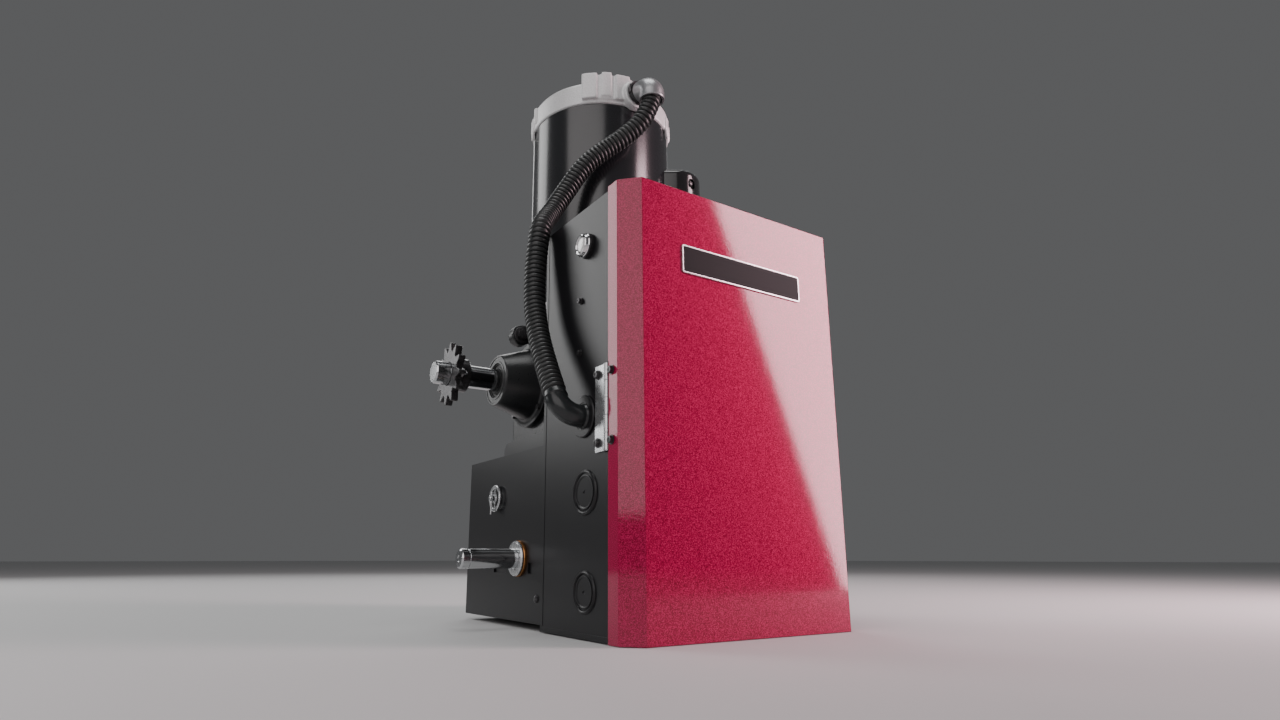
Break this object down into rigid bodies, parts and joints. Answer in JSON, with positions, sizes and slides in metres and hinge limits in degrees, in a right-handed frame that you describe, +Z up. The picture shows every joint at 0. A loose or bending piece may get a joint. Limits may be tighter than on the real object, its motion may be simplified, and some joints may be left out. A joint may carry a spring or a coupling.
{
  "type": "garage door opener",
  "caption": "Wall-hung gear-head door opener: upright motor and ribbed hose over a worm reducer, a control box with a hinged red cover, and sprocket and hoist shafts at the left.",
  "frame": {"origin": "on the wall plate's rear face, which bears on the wall, midway between the plate's sides", "axes": "+X to the right seen from the cover, +Y into the wall, +Z up; the cover faces -Y"},
  "size_m": [0.3346, 0.3393, 0.6166],
  "materials": {
    "red_paint": "satin powder coat with a fine sparkle",
    "black_paint": "semi-gloss",
    "cast_aluminium": "grainy sand-cast skin",
    "zinc": "bright zinc plate",
    "steel": "ground and polished",
    "black_steel": "black oxide",
    "bronze": "machined bronze",
    "black_plastic": "semi-gloss",
    "cast_iron": "black enamel over a cast skin",
    "copper": "enamelled winding and laminations",
    "board_green": "solder-masked board",
    "grey_plastic": "matte"
  },
  "bodies": {
    "opener": {"electrical_box": "black_paint", "lower_housing": "black_paint", "knockout_plug_upper": "black_paint", "knockout_plug_lower": "black_paint", "motor_shell": "black_paint", "capacitor_cover": "black_paint", "elbow_flange": "black_paint", "end_bell": "cast_aluminium", "motor_flange": "cast_aluminium", "hinge_leaf_box": "zinc", "button_bezel": "zinc", "motor_connector": "zinc", "hinge_pin": "steel", "upper_motor_bearing": "steel", "lower_motor_bearing": "steel", "output_bearing_left": "steel", "output_bearing_right": "steel", "wall_plate": "black_steel", "side_plate_left": "black_steel", "side_plate_right": "black_steel", "reducer_base": "black_steel", "side_screw_upper": "black_steel", "side_screw_lower": "black_steel", "hinge_screw_box_upper": "black_steel", "hinge_screw_box_lower": "black_steel", "button_nut": "black_steel", "connector_nut": "black_steel", "lug_bolt": "black_steel", "transformer": "black_steel", "hoist_bushing_left": "bronze", "hoist_bushing_right": "bronze", "conduit": "black_plastic", "conduit_elbow": "black_plastic", "shaft_seal": "black_plastic", "gear_housing": "cast_iron", "bearing_cap_left": "cast_iron", "bearing_cap_right": "cast_iron", "stator": "copper", "circuit_board": "board_green", "contactor": "grey_plastic", "capacitor": "grey_plastic"},
    "cover": {"front_cover": "red_paint", "badge_plate": "black_paint", "hinge_leaf_cover": "zinc", "hinge_screw_cover_upper": "black_steel", "hinge_screw_cover_lower": "black_steel", "cover_screw": "black_steel"},
    "button": {"button_cap": "zinc"},
    "rotor": {"rotor": "steel", "worm_shaft": "steel"},
    "output": {"worm_wheel": "bronze", "output_shaft": "steel", "drive_key": "steel", "drive_sprocket": "black_steel", "sprocket_set_screw": "zinc"},
    "hoist": {"hoist_shaft": "steel", "hoist_sprocket": "steel", "thrust_washer": "zinc"},
    "release": {"release_pin": "steel", "release_ring": "zinc"}
  },
  "joints": [
    {"name": "cover_hinge", "type": "hinge", "parent": "opener", "child": "cover", "pos_m": [-0.1298, -0.3049, 0.0195], "axis": [0, 0, -1], "range_deg": [0, 110]},
    {"name": "button_press", "type": "slide", "parent": "opener", "child": "button", "axis": [1, 0, 0], "range_m": [0, 0.003], "stiffness_N_per_m": 400},
    {"name": "motor_spin", "type": "hinge", "parent": "opener", "child": "rotor", "pos_m": [-0.0126, -0.1036, 0.29], "axis": [0, 0, 1], "continuous": true},
    {"name": "output_spin", "type": "hinge", "parent": "opener", "child": "output", "pos_m": [-0.1, -0.0556, 0.0945], "axis": [1, 0, 0], "continuous": true},
    {"name": "hoist_spin", "type": "hinge", "parent": "opener", "child": "hoist", "pos_m": [-0.1, -0.1399, -0.1047], "axis": [1, 0, 0], "continuous": true},
    {"name": "release_pull", "type": "slide", "parent": "opener", "child": "release", "axis": [-1, 0, 0], "range_m": [0, 0.01], "stiffness_N_per_m": 600}
  ],
  "couplings": [
    {"joint": "output_spin", "follows": "motor_spin", "ratio": 0.035714}
  ]
}
